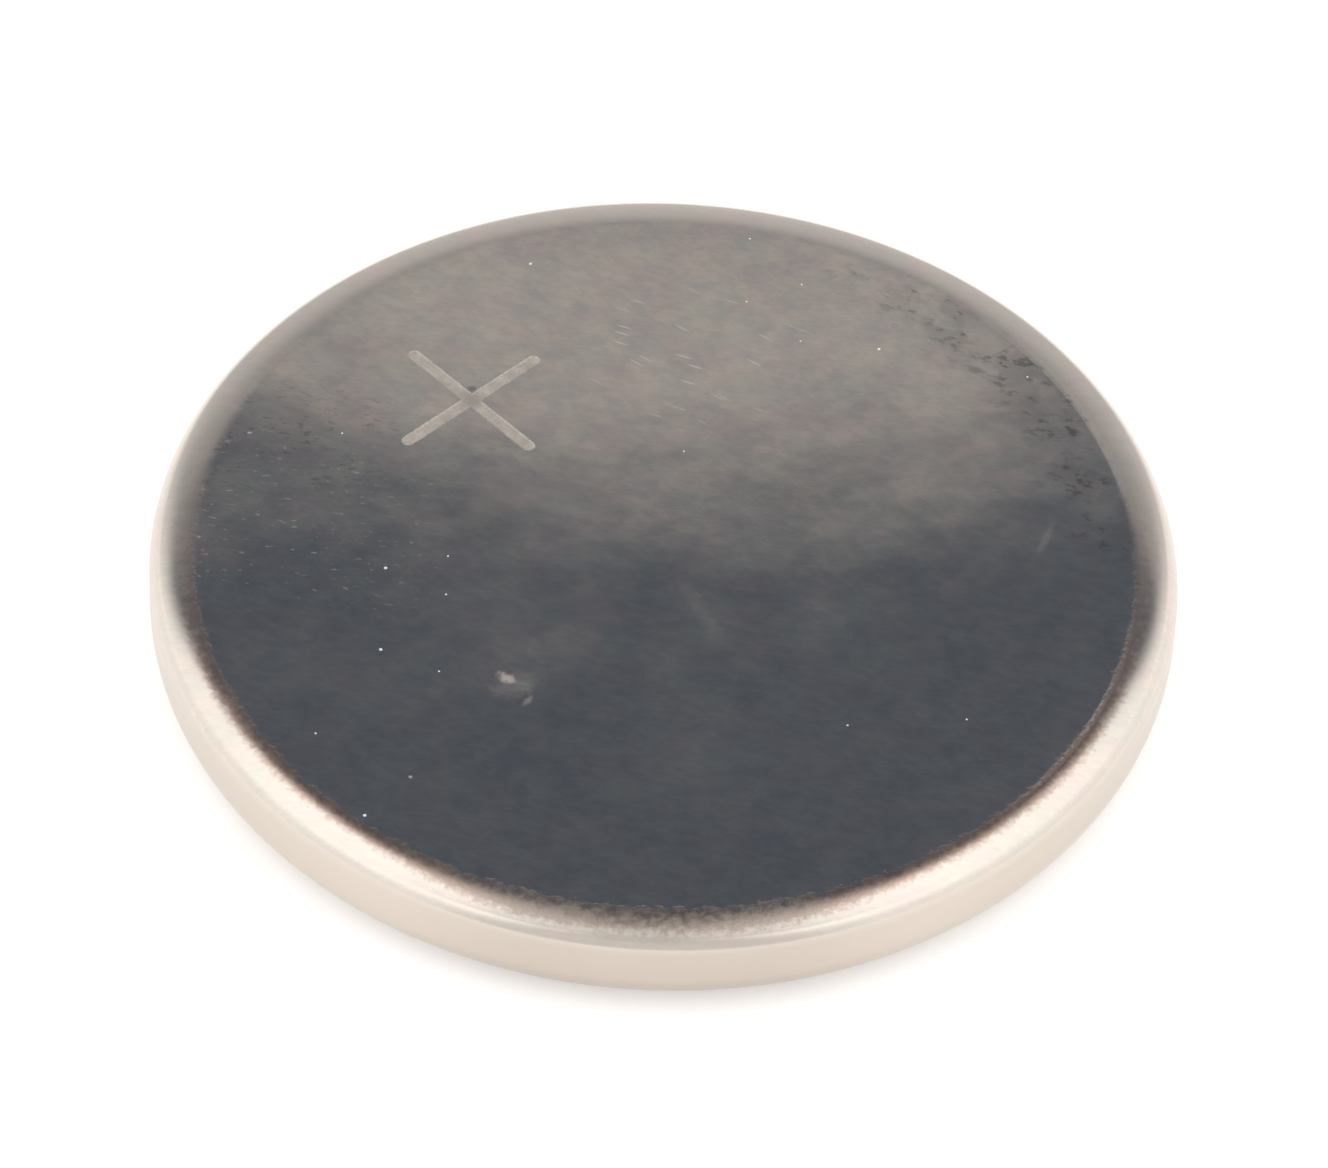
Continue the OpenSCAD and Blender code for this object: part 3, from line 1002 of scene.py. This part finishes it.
# Light of the surroundings by angle above the floor, behind the cell, at its sides and on the camera's side.
# Behind the cell a pale wall ends at a dark ceiling, and wide bright panels stand at the sides.
BEHIND = [
    (0, (0.68, 0.66, 0.655)),
    (13, (0.62, 0.605, 0.607)),
    (20, (0.565, 0.55, 0.553)),
    (27, (0.53, 0.515, 0.519)),
    (33, (0.50, 0.486, 0.49)),
    (39, (0.42, 0.409, 0.418)),
    (43.8, (0.34, 0.331, 0.339)),
    (44.4, (0.358, 0.349, 0.353)),
    (45.0, (0.405, 0.394, 0.396)),
    (45.5, (0.388, 0.377, 0.379)),
    (46.16, (0.385, 0.374, 0.376)),
    (46.33, (0.088, 0.103, 0.13)),
    (60, (0.083, 0.096, 0.118)),
    (72, (0.22, 0.215, 0.22)),
    (82, (0.46, 0.44, 0.43)),
    (90, (0.50, 0.48, 0.47)),
]
SIDES = [
    (0, (1.0, 0.98, 0.97)),
    (30, (1.02, 1.0, 0.99)),
    (45, (1.12, 1.10, 1.08)),
    (60, (1.32, 1.29, 1.27)),
    (72, (1.3, 1.27, 1.25)),
    (80, (0.7, 0.68, 0.67)),
    (90, (0.50, 0.48, 0.47)),
]
CAMERA_SIDE = [
    (0, (0.76, 0.74, 0.73)),
    (45, (0.68, 0.66, 0.65)),
    (66, (0.58, 0.56, 0.55)),
    (90, (0.50, 0.48, 0.47)),
]
# Angles off the way to the back over which the sides take over, low down and above the ceiling's edge
BEHIND_ALL = (22, 0)
BEHIND_NONE = (40, 16)
# Angles above the floor between which low down turns into above the ceiling's edge
HIGH = (43, 57)
# Angles off the way to the front over which the camera's side takes over
CAMERA_SIDE_ALL = 26
CAMERA_SIDE_NONE = 44
# Fall of the ceiling's edge to the sides: at first steep, up to a limit, and then slow
CEILING_FALL = (3.0, 0.008, 0.5)
LIGHT = 1.27
# Shortest level part of a direction: straight up it would be nothing
SHORTEST = 0.001

# Backdrop: radius of the floor, height of the wall at its edge, size of the cove between them and the angle
# of one of its parts, how far the floor lies below the cell, and the colour and the glow of both
STAGE_R = 0.6
STAGE_WALL = 0.05
STAGE_COVE = 0.03
COVE_STEP = 10
FLOOR_DROP = 0.02 * MM
FLOOR_ALBEDO = 0.92
FLOOR_GLOW = 0.27
WALL_GLOW = 0.3


def ramp(s, height, table):
    """Colour by height of direction, from a table of angles above the floor."""
    made = s.node("ShaderNodeValToRGB", {0: height})
    stops = made.color_ramp.elements
    while len(stops) < len(table):
        stops.new(0.5)
    for stop, (degrees, colour) in zip(stops, table):
        stop.position = math.sin(math.radians(degrees))
        stop.color = (*colour, 1.0)
    return made.outputs[0]


def add_world():
    world = bpy.data.worlds.new("studio")
    world.use_nodes = True
    bpy.context.scene.world = world
    s = Shader(world.node_tree)
    where = s.node("ShaderNodeTexCoord").outputs["Generated"]
    x, y, z = s.node("ShaderNodeSeparateXYZ", {0: where}).outputs
    back = s.math("DIVIDE", y, s.math("MAXIMUM", s.reach(x, y), SHORTEST))
    off = s.math("SUBTRACT", 1.0, back)
    steep, limit, slow = CEILING_FALL
    fall = s.math("MINIMUM", s.math("MULTIPLY", off, steep), limit)
    drop = s.math("ADD", fall, s.math("MULTIPLY", off, slow))
    behind = ramp(s, s.math("ADD", z, drop), BEHIND)
    high = s.span(z, *(math.sin(math.radians(a)) for a in HIGH))
    all_at, none_at = (
        s.span(high, 0.0, 1.0, *(math.cos(math.radians(a)) for a in pair), smooth=False)
        for pair in (BEHIND_ALL, BEHIND_NONE)
    )
    front = [-math.cos(math.radians(a)) for a in (CAMERA_SIDE_NONE, CAMERA_SIDE_ALL)]
    light = s.blend(s.span(back, none_at, all_at), ramp(s, z, SIDES), behind)
    light = s.blend(s.span(back, front[0], front[1]), light, ramp(s, z, CAMERA_SIDE))
    shine = s.node("ShaderNodeBackground", {"Color": light, "Strength": LIGHT})
    s.node("ShaderNodeOutputWorld", {"Surface": shine.outputs[0]})


def stage_material(name, albedo, glow):
    """Matte white that adds its own glow where the camera, metal or glass sees it. It is clear from below."""
    material, s = new_material(name)
    path = s.node("ShaderNodeLightPath").outputs
    seen = s.math("MAXIMUM", path["Is Camera Ray"], path["Is Glossy Ray"])
    seen = s.math("MAXIMUM", seen, path["Is Transmission Ray"])
    paint = s.node("ShaderNodeBsdfDiffuse", {"Color": (albedo, albedo, albedo, 1.0)})
    shine = s.node("ShaderNodeEmission", {"Color": (1, 1, 1, 1), "Strength": s.math("MULTIPLY", seen, glow)})
    front = s.node("ShaderNodeAddShader", {0: paint.outputs[0], 1: shine.outputs[0]})
    back = s.node("ShaderNodeBsdfTransparent")
    behind = s.node("ShaderNodeNewGeometry").outputs["Backfacing"]
    both = s.node("ShaderNodeMixShader", {0: behind, 1: front.outputs[0], 2: back.outputs[0]})
    s.node("ShaderNodeOutputMaterial", {"Surface": both.outputs[0]})
    return material


def add_stage():
    """Round floor, and a wall that rises from it in a cove."""
    angles = [math.radians(a) for a in range(0, 91, COVE_STEP)]
    arc = [STAGE_COVE * (1 - math.cos(a)) for a in angles]
    run = [STAGE_COVE * math.sin(a) for a in angles]
    floor = Turned()
    inner = floor.add_ring(STAGE_R, -FLOOR_DROP)
    middle = len(floor.verts)
    floor.verts.append((0, 0, -FLOOR_DROP))
    for k in range(SEGMENTS):
        floor.faces.append((middle, inner[k], inner[(k + 1) % SEGMENTS]))
    floor.build("floor", [stage_material("floor_paint", FLOOR_ALBEDO, FLOOR_GLOW)])
    wall = Turned()
    rings = [wall.add_ring(STAGE_R + x, z - FLOOR_DROP) for x, z in zip(run, arc)]
    rings.append(wall.add_ring(STAGE_R + STAGE_COVE, STAGE_WALL))
    for low, high in zip(rings, rings[1:]):
        wall.join(high, low)
    wall.build("backdrop", [stage_material("backdrop_paint", FLOOR_ALBEDO, WALL_GLOW)])


def repaint(node, material):
    """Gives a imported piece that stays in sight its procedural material."""
    mesh = frame["nodes"][node]
    for used in mesh.material_slots:
        used.material = material
    if not mesh.material_slots:
        mesh.data.materials.append(material)


def place_piece(piece, node):
    """Sets a finer piece in for a packed one."""
    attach(piece, BODY)
    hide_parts(node)


etched = etched_metal("can_etched", *ETCHED)
# The sign's sloping edge, a darker copy of the etched metal: painted shade
shaded_brink = etched_metal("can_etched_edge_painted_shade", *ETCHED_EDGE_SHADED)
place_piece(can_shell(can_metal(), etched, shaded_brink), "positive_can")
place_piece(cap_dish(cap_metal()), "negative_cap")
place_piece(gasket_ring(gasket_plastic()), "gasket")
repaint("positive_collector", collector_metal())
repaint("positive_electrode", pressed_powder("positive_powder", *POSITIVE_MIX, *POSITIVE_GRAIN))
repaint("separator", nonwoven())
repaint("negative_electrode", pressed_powder("negative_powder", *NEGATIVE_MIX, *NEGATIVE_GRAIN))

add_camera()
add_world()
add_stage()
bpy.context.scene.view_settings.view_transform = "Standard"
